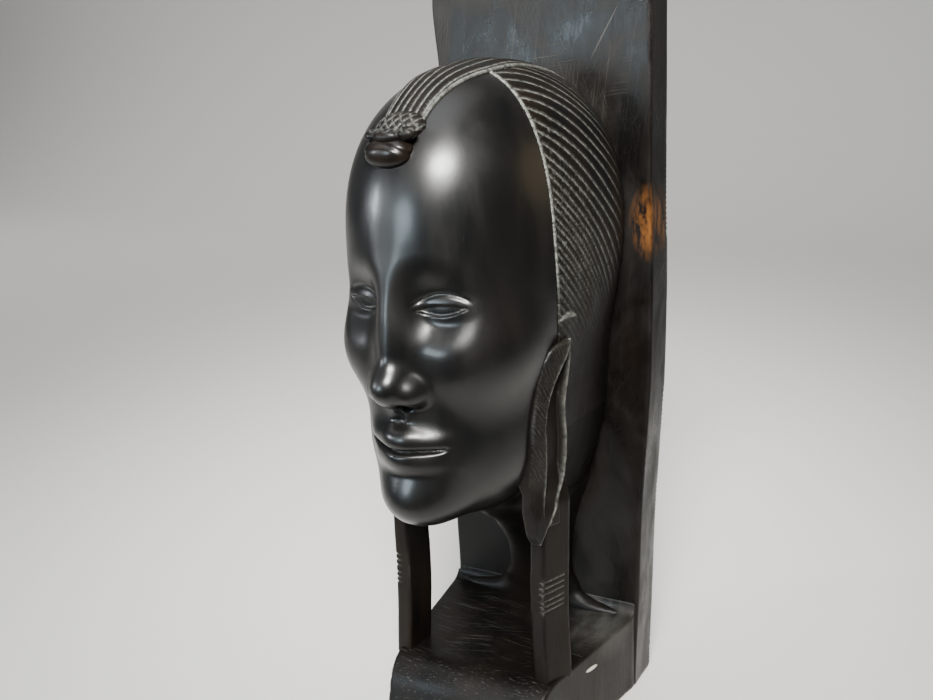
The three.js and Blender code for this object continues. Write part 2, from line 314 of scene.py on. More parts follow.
# ---- the head ----
MASSES = [
    Mass((0, -32, 177.5), (35.2, 55.5, 53), 14, power=2.15),  # skull
    Mass((0, -50, 183), (28.5, 37.5, 39.5), 14, power=2.3),   # forehead
    Mass((0, -49, 141), (28.5, 37, 47), 14, power=2.3),       # face
    Mass((0, -52, 112), (24.5, 33.5, 22.5), 14),              # jaw
    Mass((0, -12, 122), (25.5, 32, 52), 14),                  # nape
]
EYE_X, EYE_Z = 14.2, 161.5
MOUTH_Z = 118.2
FEATURES = [
    Mass((0, -78, 101), (12, 12, 9.8), 9),                    # chin
    *mirrored(Mass((16, -69.5, 146), (11.5, 14.5, 11), 14)),  # cheekbones
]
SOCKETS = mirrored(Mass((14.5, -94.5, 162.5), (12, 10.5, 8.6), 8, yaw=0.3))
RAISED = [
    *mirrored(Mass((EYE_X, -77, EYE_Z), (9.8, 7.4, 6.4), 2.4, yaw=0.42)),  # eyelids
    Mass((0, -84.6, 156), (4.6, 8.2, 24), 8, pitch=-0.16),                # bridge of the nose
    Mass((0, -91.4, 138.6), (5.6, 6.6, 5.6), 5),                          # tip of the nose
    *mirrored(Mass((6.2, -87.6, 137), (3.7, 5.6, 4.2), 3)),               # wings of the nose
    *mirrored(Mass((4.8, -84.4, 121.3), (9.2, 4.6, 3.2), 3.5, yaw=0.42)), # upper lip
    Mass((0, -85.6, 121), (4.4, 3.0, 2.4), 4),                            # middle of the upper lip
    *mirrored(Mass((3.9, -84.2, 115.2), (8.0, 4.9, 3.7), 3.5, yaw=0.42)), # lower lip
]
NOSTRILS = mirrored(Mass((3.6, -89.4, 132.4), (1.9, 3.2, 1.9), 1.2))


def round_form(p):
    """The head without its features."""
    value = outside(p, MASSES[0])
    return add_masses(value, p, MASSES[1:])


def eye_lines(x, z):
    """What the opening and the crease of an eye take off the lids."""
    across = np.abs(x) - EYE_X
    up = z - EYE_Z - 0.07 * across
    almond = np.clip(1 - (across / 7.8) ** 2, 0, None)
    opening = 0.75 * ramp(np.minimum(1.5 * almond - up, up + 2.3 * almond), -0.1, 0.55)
    arch = 0.7 + 3.6 * np.clip(1 - (across / 9.5) ** 2, 0, None)
    return opening + groove(up - arch, 0.45, 0.6) * ramp(9 - np.abs(across), 0, 3)


def mouth_line(x, z):
    side = np.abs(x)
    parting = MOUTH_Z + 0.9 * (side / 15) ** 2 - 0.4 * bump(x, 3.4)
    return groove(z - parting, 1.3, 0.75) * ramp(15.5 - side, 0, 5)


def faced_form(p):
    value = add_masses(round_form(p), p, FEATURES)
    value = cut_masses(value, p, SOCKETS)
    value = add_masses(value, p, RAISED)
    x, y, z = p.T
    philtrum = 0.35 * bump(x, 2.6) * ramp(z, 123, 127) * ramp(133 - z, 0, 5)
    value = value + ramp(-y, 60, 72) * (eye_lines(x, z) + mouth_line(x, z) + philtrum)
    return cut_masses(value, p, NOSTRILS)


def head_field(p):
    return meet(0.4, faced_form(p), p[:, 1] - 1)


def head_spacing(p):
    x, y, z = p.T
    face = (y < -50) & (z > 90) & (z < 184)
    fine = face & (y < -66) & (np.abs(x) < 26)
    return np.where(fine, 0.5, np.where(face, 1.0, np.where(y < -50, 1.3, 3)))


# ---- hair ----
HAIR_BOTTOM = 104
SIDE_PROUD, CREST_PROUD, BED = 0.5, 0.8, 2.2
CREST_FRONT = -81
LINE_PITCH = 3.2
LINE_DEPTH, LINE_WIDTH = 0.32, 0.26
CROWN_AXIS_Z, CROWN_RADIUS = 178, 42         # of the arc over the head along which the lines are spaced
CRESCENT = (-46.5, 156)                      # the highest point of the mark above the ear, as y and z


def hairline(z):
    return -56 + 0.0028 * (z - 196) ** 2


def crest_half(y):
    """The crown band's half width, which narrows forward to the knot."""
    return 12.4 - 5.2 * ramp(-y, 46, 82)


def crest_lines(p):
    """Distance from the nearest of the six lines along the crown band."""
    x, y, _ = p.T
    half = crest_half(y)
    across = 3 * (x / half + 0.02 * np.sin(0.23 * y + 4 * np.sign(x)))
    return np.abs(across - np.floor(across) - 0.5) * half / 3


def side_lines(p):
    """Distance from the nearest of the lines that sweep back and down from the hairline."""
    x, y, z = p.T
    angle = np.arctan2(np.abs(x), np.maximum(z, CROWN_AXIS_Z) - CROWN_AXIS_Z)
    arc = CROWN_RADIUS * angle + np.maximum(CROWN_AXIS_Z - z, 0)
    back = np.maximum(y - hairline(z), 0)
    start = arc.copy()
    for _ in range(6):
        slope = 0.28 + 0.75 * ramp(start, 10, 52)
        change = 0.75 * (ramp(start + 0.5, 10, 52) - ramp(start - 0.5, 10, 52))
        bow = 0.0035 * back ** 2
        start = start - (start + slope * back + bow - arc) / (1 + change * back)
    phase = start / LINE_PITCH + 0.06 * np.sin(0.17 * back + 2.1 * np.floor(start / LINE_PITCH))
    return np.abs(phase - np.floor(phase) - 0.5) * LINE_PITCH / np.sqrt(1 + slope ** 2)


def side_fade(z):
    """The lines grow shallower towards the ear."""
    return ramp(z, 134, 172)


def crescent(p):
    """1 inside the crescent above the ear, and in the short strokes before it."""
    _, y, z = p.T
    top = CRESCENT[1] - 0.09 * (y - CRESCENT[0]) ** 2
    bottom = CRESCENT[1] - 2.8 - 0.02 * (y - CRESCENT[0]) ** 2
    strokes = bump(np.abs((y + 0.5 * z) / 1.1 % 1 - 0.5), 0.22) * ramp(-y, 50.5, 51.5) * ramp(y, -56, -55)
    strokes = strokes * ramp(z, 149, 150.5) * ramp(155.5 - z, 0, 1.5)
    return np.maximum(ramp(top - z, 0, 0.7) * ramp(z - bottom, 0, 0.7), 0.7 * strokes)


def side_hair_field(p):
    x, y, z = p.T
    skin = round_form(p)
    proud = SIDE_PROUD * (1.6 * ramp(z, HAIR_BOTTOM, 128) - 0.6) + 0.45 * crescent(p)
    outer = skin - proud + groove(side_lines(p), LINE_DEPTH * side_fade(z), LINE_WIDTH)
    zone = meet(0.3, hairline(z) - y, crest_half(y) + 0.15 - x, HAIR_BOTTOM - z, y - 1)
    return meet(0.3, outer, zone, -(skin + BED))


def side_lined(p):
    """Where dust lies in the side hair's lines, and a pale line along the hairline that is partly rubbed
    wear and partly a painted highlight on its step.
    """
    x, y, z = p.T
    on_skin = ramp(round_form(p) - SIDE_PROUD, -0.75, -0.4)
    fade = side_fade(z) * ramp(y, 0, -22)
    # painted highlight, with rubbing: a pale line along the hairline's step, where it faces the light
    edge = bump(np.minimum(y - hairline(z), 2 * (x - crest_half(y))), 0.5) * ramp(z, 150, 175)
    lines = fade * bump(side_lines(p), LINE_WIDTH)
    return on_skin * np.maximum.reduce([0.7 * lines, edge, 0.8 * crescent(p)])


def crest_field(p):
    x, y, z = p.T
    skin = round_form(p)
    outer = skin - CREST_PROUD + groove(crest_lines(p), LINE_DEPTH, LINE_WIDTH)
    zone = meet(0.3, np.abs(x) - crest_half(y), CREST_FRONT - y, y - 1, 190 - z)
    return meet(0.35, outer, zone, -(skin + BED))


def crest_lined(p):
    x, y, _ = p.T
    on_skin = ramp(round_form(p) - CREST_PROUD, -0.8, -0.4)
    edge = bump(np.abs(x) - crest_half(y) + 0.2, 0.4)
    return on_skin * np.maximum(bump(crest_lines(p), LINE_WIDTH), 0.8 * edge)


def side_spacing(p):
    near = (side_lines(p) < 0.5) & (p[:, 2] > 116) & (np.abs(round_form(p) - SIDE_PROUD) < 0.7)
    edge = np.abs(hairline(p[:, 2]) - p[:, 1]) < 0.8
    mark = (crescent(p) > 0.02) & (np.abs(p[:, 1] - CRESCENT[0]) < 11)
    return np.where(near | edge | mark, 0.36, 1.3)


def crest_spacing(p):
    near = (crest_lines(p) < 0.75) & (np.abs(round_form(p) - CREST_PROUD) < 0.8)
    edge = np.abs(np.abs(p[:, 0]) - crest_half(p[:, 1])) < 0.7
    return np.where(near | edge, 0.3, 1.2)


# ---- knot ----
KNOT_LUMP = Mass((-1.2, -84.8, 205.4), (8.0, 5.6, 4.6), 1.0, pitch=0.3, power=2.3)
KNOT_CAP = Mass((-0.4, -80.6, 212.2), (8.6, 5.6, 3.4), 1.0, pitch=0.6)
LEAVES = [
    Mass((-5.6, -85.2, 209.8), (3.4, 2.6, 2.0), 0.4, yaw=0.5),
    Mass((-0.6, -86.8, 209.6), (4.2, 2.6, 2.3), 0.4, yaw=0.1),
    Mass((4.8, -85.0, 210.4), (3.6, 2.6, 2.1), 0.4, yaw=-0.4),
]
STROKE_PITCH, STROKES_Z = 2.9, 212           # at x = 0 that height is midway between strokes


def knot_field(p):
    dent = 0.3 * bump(p[:, 2] - 207.6 + 0.05 * (p[:, 0] + 1) ** 2, 0.7)
    return outside(p, KNOT_LUMP) + dent


def binding_strokes(p):
    """Distance from the nearest of the strokes that cross on the binding."""
    x, _, z = p.T
    up = z - STROKES_Z
    phases = [(x + 1.2 * up) / STROKE_PITCH, (x - 0.9 * up) / STROKE_PITCH]
    return np.minimum(*[np.abs(phase - np.floor(phase) - 0.5) * STROKE_PITCH for phase in phases])


def binding_field(p):
    cap = outside(p, KNOT_CAP) + groove(binding_strokes(p), 0.4, 0.3) * ramp(p[:, 2], 210.5, 211.5)
    return add_masses(cap, p, LEAVES)


def binding_lined(p):
    return 0.4 * bump(binding_strokes(p), 0.3) * ramp(p[:, 2], 210.5, 211.5)


# ---- ears ----
# Each outline is a list of (z, y).
EAR_TOP, LOBE_TIP = 147.5, 80.5
EAR_FRONT = [  # the rim's front edge
    (LOBE_TIP, -58.4), (84, -60), (88, -60.8), (92, -61.4), (98, -60.8), (110, -60.6),
    (119, -60.2), (128, -58), (136, -57), (142, -55.6), (146, -51.5), (EAR_TOP, -47)]
RIM_BACK = [  # where the rim drops to the channel
    (92, -56.4), (100, -55.2), (114, -55.6), (121, -55.4), (127, -54), (133, -51.8), (138, -49.4),
    (144, -46.6)]
EAR_RIDGE = [  # the ridge behind the channel
    (88, -51.5), (95, -50.2), (100, -47.6), (106, -45.8), (113, -45), (126, -45.2), (134, -44.3), (142, -45),
    (147, -46.5)]
LOBE_BACK = [(LOBE_TIP, -58), (84, -56.2), (87.3, -54.2), (89.8, -52.6), (93, -50.8)]
RIDGE_WIDTH = 0.9
RIM_HEIGHT, RIM_BEVEL = 1.2, 2.1             # at the rim's front edge, and what it gains towards its back
RIDGE_HEIGHT = 2.7
HATCH_PITCH = 1.7


def ear_base(p):
    """Distance outside the head's side, carried on downwards as the plane of the pendant's face."""
    x, y, _ = p.T
    plane = (x - 27.2 - 0.34 * (y + 50)) / 1.056
    return join(round_form(p), plane, 3), plane


def rim_share(y, z):
    """How far back across the front rim, and how fully a point is on it."""
    front, back = through(z, EAR_FRONT), through(z, RIM_BACK)
    share = np.clip((y - front) / (back - front), 0, 1)
    return share, ramp(back + 0.4 - y, 0, 0.9)


def ear_height(y, z):
    """How high the ear stands above the head's side: a bevelled front rim, a channel and a back ridge."""
    share, on_rim = rim_share(y, z)
    rim = on_rim * (RIM_HEIGHT + RIM_BEVEL * share)
    ridge = RIDGE_HEIGHT * bump(y - through(z, EAR_RIDGE), RIDGE_WIDTH)
    lobe = ramp(z, 95, 89)
    channel = 0.4 + 1.6 * ramp(z, 108, 97)
    return np.maximum.reduce([rim, ridge, channel]) * (1 - lobe) + RIDGE_HEIGHT * lobe


def ear_field(p):
    _, y, z = p.T
    base, plane = ear_base(p)
    front = through(z, EAR_FRONT) - y
    body = meet(0.6, front, y - through(z, EAR_RIDGE) - 1.6, LOBE - 2 - z, z - EAR_TOP)
    lobe = meet(0.6, front, y - through(z, LOBE_BACK), LOBE_TIP - z, z - 96)
    outline = np.minimum(body, lobe)
    inner = 1.2 + 5.5 * ramp(z, 98, 108)
    return meet(0.6, outline, base - ear_height(y, z), -(plane + inner))


def ear_lined(p):
    """Slanting strokes across the rim, and pale edges of the rim, the ridge and the lobe: rubbed wear, with
    a painted highlight along the rim's back and the ridge.
    """
    _, y, z = p.T
    share, on_rim = rim_share(y, z)
    outer = ramp(ear_base(p)[0] - ear_height(y, z), -0.8, -0.3)
    waver = 0.6 * np.sin(0.9 * z + 0.5 * y)
    strokes = np.abs((z + 1.6 * y + waver) / HATCH_PITCH % 1 - 0.5)
    hatch = 0.12 * on_rim * bump(strokes, 0.2) * ramp(z, 98, 104)
    # painted highlight, with rubbing: pale lines along the rim's back edge and the ridge's crest
    edges = np.maximum(bump(share - 0.93, 0.1) * on_rim, bump(y - through(z, EAR_RIDGE), 0.45))
    tip = bump(y - through(z, LOBE_BACK) + 0.2, 0.4) * ramp(z, 94, 92)
    return outer * np.maximum.reduce([hatch, 0.55 * edges * ramp(z, 92, 97), tip])


def untwist(points):
    """The ear follows the head's turn at its top and stands straight on the pendant at its foot."""
    share = ramp(points[:, 2], 86, 128)
    return points + share[:, None] * (turn_head(points) - points)


# ---- neck, slab, plinth and pendants ----
NECK_HALF = [(30, 35), (33, 22), (40, 14.5), (52, 12.5), (70, 15.5), (86, 20)]
NECK_DEPTH = [(30, 5), (33, 5.6), (40, 8), (52, 14), (70, 27), (86, 46)]
# The slab's edges as (z, distance from its middle); the left-hand one bows outwards.
EDGE_LEFT = [
    (0, 38.2), (30, 38.8), (60, 39.4), (95, 40.9), (120, 42.1), (148, 42.3), (185, 41.5), (225, 40.7),
    (262, 40.2)]
EDGE_RIGHT = [(0, 37.4), (30, 37.6), (130, 39), (232, 40), (243, 40.8), (252, 41.3), (262, 40.6)]
PLINTH_TAPER = 0.156
PLINTH_SKEW = 0.08                           # the front edge is further forward on the right
PENDANT_PLACES = {1: ((26.0, -48.8, 0), 0.33), -1: ((-26.6, -51.0, 0), 0.10)}  # place and turn, by side
PENDANT_HALF_THICKNESS, PENDANT_HALF_WIDTH = 3, 6.4
PENDANT_FOOT_DEPTH, PENDANT_HEAD_REACH = 2.5, 18  # how far it goes into the plinth, and up inside the ear
PENDANT_MARKS = [66.0, 63.9, 61.8, 59.2, 57.3, 55.5]
NICK = (33.3, -30.8, 23.7)
SCRATCH = (24.8, -0.3, 239.8)


def neck_field(p):
    x, y, z = p.T
    half, depth = through(z, NECK_HALF), through(z, NECK_DEPTH)
    shell = (np.sqrt((x / half) ** 2 + (y / depth) ** 2) - 1) * np.minimum(half, depth)
    return meet(0.5, shell + 0.25 * uneven(p, 7, 1.2), y - 1, PLINTH_TOP - 1 - z, z - NECK_TOP - 4)


def slab_field(p):
    x, y, z = p.T
    left = x - through(z, EDGE_LEFT) + 0.3 * uneven(p, 16, 0.4)
    right = -x - through(z, EDGE_RIGHT) + 0.4 * uneven(p * np.array([0, 0, 1]), 9, 2.0)
    front = 0.1 - y - 0.12 * uneven(p, 9, 3.1)
    outline = meet(7, z - SLAB_HEIGHT, left, right)
    return meet(1.2, outline, front, y - SLAB_THICKNESS + 0.2, -z)


def plinth_field(p):
    x, y, z = p.T
    side = np.abs(x) - FOOT_HALF + PLINTH_TAPER * np.abs(y) + 0.2 * uneven(p, 14, 4.2)
    face = (-y + PLINTH_SKEW * x - 66 - 0.286 * (21 - z)) / 1.04
    top = z - PLINTH_TOP + 0.12 * uneven(p, 8, 0.9)
    body = meet(1.1, meet(9, top, face), side, -z)
    fillet = join(body, -y, 4.5)
    return meet(0.5, fillet, y - 1.5, z - PLINTH_TOP - 5, np.abs(x) - FOOT_HALF + 0.3, -z)


def pendant_field(p, side):
    """A bar with its own axes: outward across its thickness, along its width, and up."""
    place, turn = PENDANT_PLACES[side]
    out, along, z = spun(p - np.array(place), turn, 0, 1).T
    out = out * side
    on_face = ramp(out, -1, 2) * ramp(4.6 - along, 0, 1)
    marks = sum(groove(z - at, 0.4, 0.34) for at in PENDANT_MARKS) * on_face
    bow = 0.5 * np.sin(np.pi * (z - 30) / 58) - 0.7 * ramp(z, 50, 28) + 0.12 * uneven(p, 6, 2.2)
    lean = 7 * ramp(z, 91, 110)  # the outer face runs up into the side of the head
    outer, inner = out + bow - PENDANT_HALF_THICKNESS + lean, -out - bow - PENDANT_HALF_THICKNESS
    box = meet(0.9, outer, inner, np.abs(along) - PENDANT_HALF_WIDTH + 0.1 * uneven(p, 5, 0.3))
    return meet(0.6, box + marks, PLINTH_TOP - PENDANT_FOOT_DEPTH - z, z - LOBE - PENDANT_HEAD_REACH)


# ---- materials ----
class Nodes:
    """Short calls for building one material's node tree."""

    def __init__(self, name):
        self.material = bpy.data.materials.new(name)
        self.material.use_nodes = True
        self.tree = self.material.node_tree
        self.tree.nodes.clear()
        self.shine = None  # a socket for how much of the reflection is left, where that varies
        self.place = self.add("ShaderNodeTexCoord").outputs["Object"]

    def add(self, kind, inputs=None, **settings):
        node = self.tree.nodes.new(kind)
        for key, value in settings.items():
            setattr(node, key, value)
        for key, value in (inputs or {}).items():
            if isinstance(value, bpy.types.NodeSocket):
                self.tree.links.new(value, node.inputs[key])
            else:
                node.inputs[key].default_value = value
        return node

    def noise(self, scale, detail=4, roughness=0.55, turn=(0, 0, 0), distortion=0):
        """Noise whose grains are 1/scale metres across along each axis, after a turn."""
        spun_place = self.add("ShaderNodeMapping", {"Vector": self.place, "Rotation": turn}).outputs[0]
        stretched = self.add("ShaderNodeMapping", {"Vector": spun_place, "Scale": scale}).outputs[0]
        texture = self.add("ShaderNodeTexNoise", {
            "Vector": stretched, "Scale": 1, "Detail": detail,
            "Roughness": roughness, "Distortion": distortion})
        return texture.outputs["Fac"]

    def span(self, value, low, high, to_low=0.0, to_high=1.0):
        node = self.add("ShaderNodeMapRange", {
            "Value": value, "From Min": low, "From Max": high, "To Min": to_low, "To Max": to_high})
        return node.outputs["Result"]

    def maths(self, operation, a, b=0.5, clamp=False):
        return self.add("ShaderNodeMath", {0: a, 1: b}, operation=operation, use_clamp=clamp).outputs[0]

    def total(self, masks):
        """The sum of some masks, held at 1."""
        value = masks[0]
        for mask in masks[1:]:
            value = self.maths("ADD", value, mask, clamp=True)
        return value

    def blend(self, share, a, b):
        """A mix of two colours or two numbers."""
        if isinstance(a, tuple) or isinstance(b, tuple) or getattr(a, "type", "") == "RGBA":
            node = self.add("ShaderNodeMix", {0: share}, data_type="RGBA")
            for index, value in ((6, a), (7, b)):
                self.put(node.inputs[index], value)
            return node.outputs[2]
        node = self.add("ShaderNodeMix", {0: share}, data_type="FLOAT")
        for index, value in ((2, a), (3, b)):
            self.put(node.inputs[index], value)
        return node.outputs[0]

    def put(self, socket, value):
        if isinstance(value, bpy.types.NodeSocket):
            self.tree.links.new(value, socket)
        else:
            socket.default_value = value

    def attribute(self, name):
        return self.add("ShaderNodeAttribute", attribute_name=name).outputs["Fac"]

    def near(self, point, radii, turn=(0, 0, 0)):
        """1 at a point, in the script's millimetres, falling to 0 at the radii, in millimetres."""
        place = ORIGIN + Vector(point) * MM
        moved = self.add("ShaderNodeVectorMath", {0: self.place, 1: place}, operation="SUBTRACT").outputs[0]
        spun_place = self.add("ShaderNodeMapping", {"Vector": moved, "Rotation": turn}).outputs[0]
        scale = [1 / (r * MM) for r in radii]
        scaled = self.add("ShaderNodeMapping", {"Vector": spun_place, "Scale": scale}).outputs[0]
        length = self.add("ShaderNodeVectorMath", {0: scaled}, operation="LENGTH").outputs["Value"]
        return self.maths("SUBTRACT", 1.0, length, clamp=True)

    def scratches(self, turn, amount, length=40, width=0.18, rare=0.66):
        """Thin straight scratches across a face, longest along the turned X axis, as a mask."""
        lines = self.noise((1000 / length, 1000 / width, 1000 / width), 2, 0.5, turn)
        patches = self.noise((60, 60, 60), 2, 0.5, turn)
        lit = self.span(lines, rare, rare + 0.1)
        return self.maths("MULTIPLY", lit, self.span(patches, 0.5 - amount, 0.72 - amount), clamp=True)

    def finish(self, colour, roughness, height, look):
        coat, specular = look.coat, FULL_SPECULAR
        if self.shine:
            coat = self.maths("MULTIPLY", self.shine, look.coat)
            specular = self.maths("MULTIPLY", self.shine, FULL_SPECULAR)
        bump_node = self.add("ShaderNodeBump", {"Height": height, "Distance": BUMP_DEPTH, "Strength": 1.0})
        shader = self.add("ShaderNodeBsdfPrincipled", {
            "Base Color": colour, "Roughness": roughness, "Normal": bump_node.outputs[0],
            "Coat Weight": coat, "Coat Roughness": COAT_ROUGHNESS, "IOR": look.index,
            "Specular IOR Level": specular})
        output = self.add("ShaderNodeOutputMaterial")
        self.tree.links.new(shader.outputs[0], output.inputs[0])
        return self.material


BLACK = (0.0022, 0.0021, 0.0020, 1)
BROWN = (0.010, 0.0056, 0.0028, 1)
# The grey and the worn brown serve for dust, scratches and wear, and also for the painted sheen on the
# slab's top and the plinth's back corner.
DUST_AND_SHEEN_GREY = (0.13, 0.127, 0.115, 1)
PALE_LINE = (0.19, 0.195, 0.175, 1)
WORN_AND_SHEEN_WOOD = (0.032, 0.029, 0.026, 1)
SAPWOOD = (0.15, 0.058, 0.014, 1)
PALE_NICK = (0.62, 0.58, 0.50, 1)
BUMP_DEPTH = 0.00004                         # metres
COAT_ROUGHNESS = 0.19
FULL_SPECULAR = 0.5
Look = namedtuple("Look", "brown grain roughness dust wear coat index")


def ebony(name, look, extras=None):
    """Black wood with upright grain; dust lies in its hollows and cut lines, its ridges are worn, and the
    pale line mask also holds painted highlights along some edges.
    """
    n = Nodes(name)
    grain = n.noise((1500, 1500, 70), 5, 0.6)
    broad = n.noise((95, 95, 22), 3, 0.5, distortion=0.4)
    speckle = n.noise((2600, 2600, 2600), 2, 0.6)
    broken = n.noise((700, 700, 700), 3, 0.6)
    scuffs = n.total([n.scratches((0.2, 0.9, 0.3), 0.02), n.scratches((0.1, -0.5, 1.1), 0, 25)])
    colour = n.blend(n.span(broad, 0.35, 0.75, 0, look.brown), BLACK, BROWN)
    colour = n.blend(n.span(grain, 0.55, 0.8, 0, 0.4 * look.grain), colour, BROWN)
    colour = n.blend(n.maths("MULTIPLY", scuffs, 0.35), colour, WORN_AND_SHEEN_WOOD)
    patchy = n.span(speckle, 0.35, 0.65, 0.35 * look.wear, look.wear)
    worn = n.maths("MULTIPLY", n.attribute("worn"), patchy)
    colour = n.blend(worn, colour, WORN_AND_SHEEN_WOOD)
    dusty = n.maths("MULTIPLY", n.attribute("dusty"), n.span(speckle, 0.3, 0.7, 0.3 * look.dust, look.dust))
    colour = n.blend(dusty, colour, DUST_AND_SHEEN_GREY)
    # pale lines: dust in cut lines, and on the hairline and the ear's edges also a painted highlight
    lined = n.maths("MULTIPLY", n.attribute("lined"), n.span(broken, 0.36, 0.6, 0.25, 1.0))
    colour = n.blend(lined, colour, PALE_LINE)
    rough = n.span(broad, 0.3, 0.7, look.roughness - 0.06, look.roughness + 0.08)
    rough = n.maths("ADD", rough, n.span(grain, 0.3, 0.7, -0.05 * look.grain, 0.07 * look.grain))
    marked = n.maths("ADD", n.maths("ADD", dusty, scuffs), lined)
    rough = n.maths("ADD", rough, n.maths("MULTIPLY", marked, 0.25), clamp=True)
    height = n.maths("ADD", n.maths("MULTIPLY", grain, look.grain), n.maths("MULTIPLY", speckle, 0.45))
    height = n.maths("SUBTRACT", height, n.maths("MULTIPLY", scuffs, 0.8))
    if extras:
        colour, rough, height = extras(n, colour, rough, height)
    return n.finish(colour, rough, height, look)


def head_extras(n, colour, rough, height):
    """Behind the ears the wood is left dull."""
    back = n.add("ShaderNodeSeparateXYZ", {0: n.place}).outputs["Y"]
    dull = n.span(back, ORIGIN.y - 0.052, ORIGIN.y - 0.040)
    n.shine = n.maths("SUBTRACT", 1.0, n.maths("MULTIPLY", dull, 0.7))
    return colour, n.maths("ADD", rough, n.maths("MULTIPLY", dull, 0.1), clamp=True), height


def slab_extras(n, colour, rough, height):
    """Scratches, denser towards the top, a cloudy painted sheen on the upper slab, and the sapwood on its
    left-hand front edge.
    """
    clouds = n.noise((40, 40, 26), 4, 0.6, distortion=0.8)
    rubbing = [  # turn, amount, length, width, rarity
        ((0, 1.45, 0), 0.2, 90, 0.2, 0.61), ((0, -1.25, 0), 0.14, 60, 0.2, 0.62),
        ((0, 1.0, 0), 0.12, 45, 0.2, 0.62), ((0, 0.1, 0), 0.04, 40, 0.2, 0.62)]
    scratch = n.span(n.near(SCRATCH, (11, 3, 0.35), (0, 1.05, 0)), 0, 0.3)
    rubbed = n.total([n.scratches(*line) for line in rubbing] + [scratch])
    top_sheen_zone = n.near((0, 0, 262), (75, 30, 75))
    # the real scratches are kept strongest at the top, under the painted sheen
    rubbed = n.maths("MULTIPLY", rubbed, n.span(top_sheen_zone, 0, 0.5, 0.15, 1.0))
    colour = n.blend(n.maths("MULTIPLY", rubbed, 0.3), colour, DUST_AND_SHEEN_GREY)
    # painted sheen: clouds of lighter wood colour over the upper slab stand in for a reflected light
    painted_sheen = n.maths("MULTIPLY", n.span(clouds, 0.4, 0.7), n.span(top_sheen_zone, 0, 0.6, 0.2, 0.75))
    colour = n.blend(painted_sheen, colour, WORN_AND_SHEEN_WOOD)
    rough = n.maths("ADD", rough, n.span(clouds, 0.36, 0.64, -0.13, 0.2), clamp=True)
    mottle = n.noise((420, 420, 150), 4, 0.65)
    patch = n.near((40.5, 2, 177), (7.5, 26, 14.5))
    share = n.maths("MULTIPLY", n.span(patch, 0.05, 0.7, 0, 0.85), n.span(mottle, 0.42, 0.62), clamp=True)
    return n.blend(share, colour, SAPWOOD), rough, n.maths("SUBTRACT", height, rubbed)


def plinth_extras(n, colour, rough, height):
    """Scratches across the plinth's top and front, a painted sheen in streaks on its back corner, and a pale
    nick on its left side.
    """
    rubbed = n.total([n.scratches((0, 0, 0.12), 0.2, 45, 0.24), n.scratches((0, 0, -0.35), 0.1, 30, 0.22)])
    colour = n.blend(n.maths("MULTIPLY", rubbed, 0.7), colour, DUST_AND_SHEEN_GREY)
    # painted sheen: pale grey streaks on the back corner of the top stand in for the reflected slab front
    corner = n.near((24, -10, 30), (24, 26, 12))
    sheen_streaks = n.span(n.noise((150, 60, 60), 4, 0.6), 0.35, 0.65, 0.05, 0.32)
    painted_sheen = n.maths("MULTIPLY", n.span(corner, 0, 0.6), sheen_streaks)
    colour = n.blend(painted_sheen, colour, DUST_AND_SHEEN_GREY)
    nick = n.near(NICK, (3, 4.4, 0.9), (0.12, 0, 0))
    colour = n.blend(n.span(nick, 0.05, 0.3), colour, PALE_NICK)
    return colour, rough, n.maths("SUBTRACT", height, rubbed)


POLISHED = ebony("ebony_polished_head", Look(0.25, 0.25, 0.36, 0.35, 0.4, 0.25, 1.42), head_extras)
HAIR_WOOD = ebony("ebony_incised_hair", Look(0.75, 1, 0.46, 0.4, 0.4, 0, 1.26))
KNOT_WOOD = ebony("ebony_polished_knot", Look(0.9, 0.4, 0.32, 0.4, 0.4, 0.2, 1.32))
BINDING_WOOD = ebony("ebony_incised_binding", Look(0.8, 0.6, 0.40, 0.7, 0.6, 0, 1.3))
EAR_WOOD = ebony("ebony_polished_ear", Look(0.6, 1, 0.42, 0.5, 0.8, 0, 1.28))
PENDANT_WOOD = ebony("ebony_plain_pendant", Look(0.9, 1, 0.44, 0.9, 0.8, 0, 1.24))
SLAB_WOOD = ebony("ebony_plain_slab", Look(0.35, 0.6, 0.38, 0.5, 0.9, 0, 1.28), slab_extras)
NECK_WOOD = ebony("ebony_plain_neck", Look(0.6, 1, 0.46, 0.5, 0.6, 0, 1.26))
PLINTH_WOOD = ebony("ebony_plain_plinth", Look(0.45, 0.8, 0.40, 0.7, 0.8, 0, 1.26), plinth_extras)


# ---- pieces ----
def even(step, edge_step=None, edge=None):
    """A spacing that is finer where a given test of the points holds."""
    return lambda p: np.where(edge(p), edge_step, step) if edge else np.full(len(p), float(step))


def each_side(points, triangles):
    """A piece laid out on the left, and its mirror image on the right, by node ending."""
    yield "left", points, triangles
    yield "right", points * np.array([-1, 1, 1]), triangles[:, ::-1]


def build_head():
    points, triangles = carve(head_field, (-42, -104, 84), (42, 4, 236), head_spacing)
    make_piece("carved_head", turn_head(points), triangles, ["head"], POLISHED)


def build_hair():
    points, triangles = carve(side_hair_field, (4, -64, 98), (42, 4, 236), side_spacing, 1.2)
    lined = side_lined(points)
    for ending, placed, order in each_side(points, triangles):
        name = "hair_" + ending
        make_piece("carved_" + name, turn_head(placed), order, [name], HAIR_WOOD, lined)
    points, triangles = carve(crest_field, (-16, -90, 190), (16, 4, 238), crest_spacing, 1.2)
    lined = crest_lined(points)
    placed = turn_head(points)
    make_piece("carved_hair_crest", placed, triangles, ["hair_crest"], HAIR_WOOD, lined)


def build_knot():
    fine = even(0.35)
    points, triangles = carve(knot_field, (-13, -96, 196), (11, -74, 216), fine, 0.9)
    make_piece("carved_knot", turn_head(points), triangles, ["hair_knot"], KNOT_WOOD)
    points, triangles = carve(binding_field, (-14, -96, 202), (14, -68, 222), fine, 0.9)
    lined = binding_lined(points)
    placed = turn_head(points)
    make_piece("carved_binding", placed, triangles, ["knot_binding"], BINDING_WOOD, lined)


